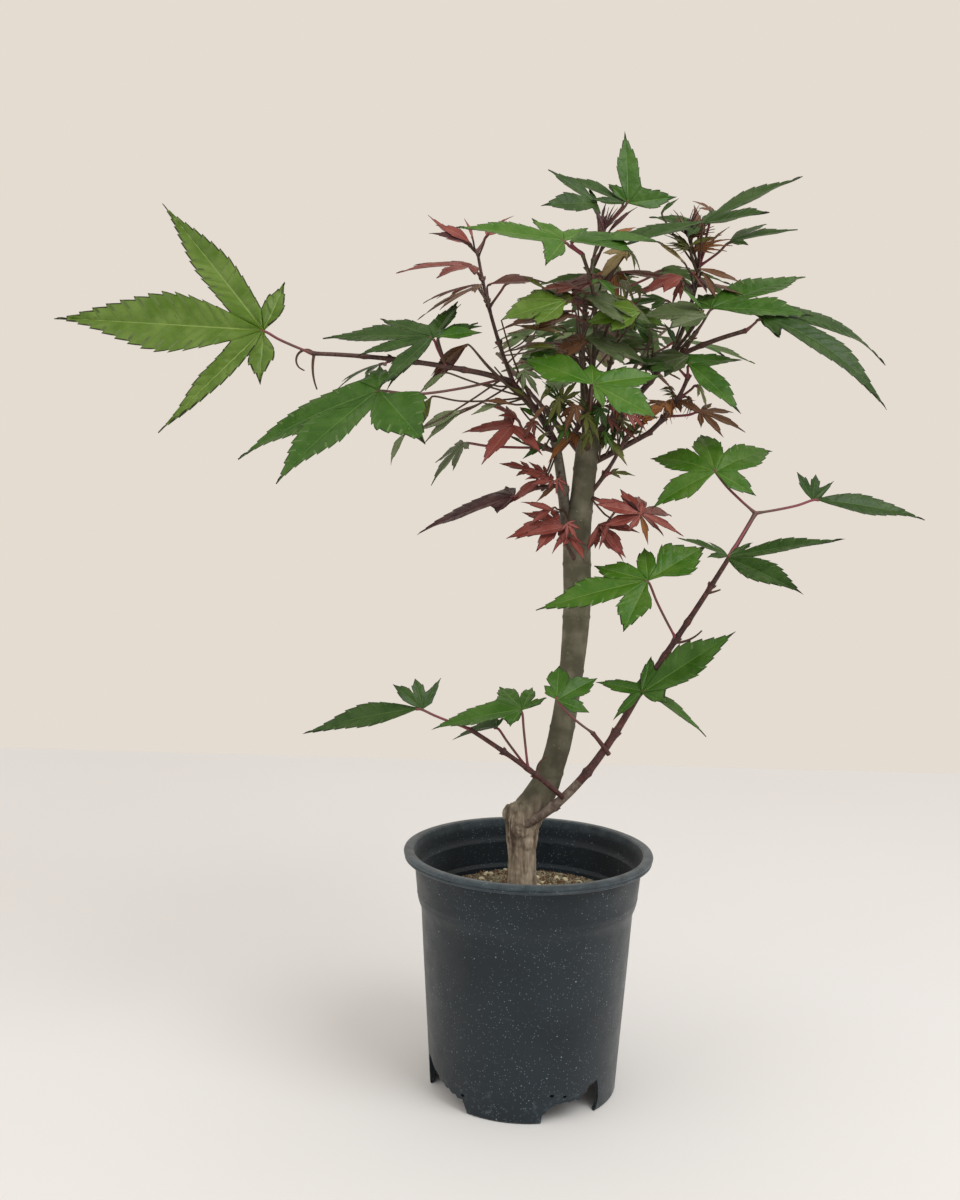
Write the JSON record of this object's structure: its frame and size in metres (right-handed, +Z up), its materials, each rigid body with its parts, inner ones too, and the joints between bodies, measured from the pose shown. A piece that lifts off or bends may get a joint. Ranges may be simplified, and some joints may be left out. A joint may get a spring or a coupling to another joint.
{
  "type": "potted japanese maple",
  "caption": "Young grafted Japanese maple in a round plastic nursery pot: a bare leaning trunk, thin arching shoots and an open crown of lobed green and red leaves.",
  "frame": {"origin": "on the ground the pot stands on, under the middle of the whole plant's width and depth, so the pot's own centre is a little left of it and in front of it", "axes": "+Z up; -Y is the front that the picture shows; +X to the right as seen from the front"},
  "size_m": [0.4006, 0.2374, 0.4588],
  "materials": {
    "pot_plastic": "matte",
    "soil": "matte",
    "bark": "matte",
    "green_leaves": "satin",
    "red_leaves": "satin"
  },
  "bodies": {
    "root": {"pot": "pot_plastic", "soil": "soil", "trunk": "bark", "left_stem": "bark", "low_bough": "bark", "left_bough": "bark", "middle_bough": "bark", "right_bough": "bark", "right_low_bough": "bark", "back_bough": "bark", "back_left_bough": "bark", "back_right_bough": "bark", "far_left_spray": "green_leaves", "upper_left_spray": "red_leaves", "top_left_spray": "green_leaves", "crest_spray": "green_leaves", "upper_right_spray": "green_leaves", "right_spray": "green_leaves", "lower_right_spray": "green_leaves", "front_spray": "green_leaves", "red_left_spray": "red_leaves", "dark_red_spray": "red_leaves", "left_sprig": "red_leaves", "right_sprig": "red_leaves", "twig_sprig": "green_leaves", "low_left_spray": "green_leaves", "low_knee_spray": "green_leaves", "low_right_spray": "green_leaves", "back_spray": "green_leaves", "back_left_spray": "green_leaves", "back_right_spray": "green_leaves", "back_top_spray": "green_leaves"}
  },
  "joints": []
}
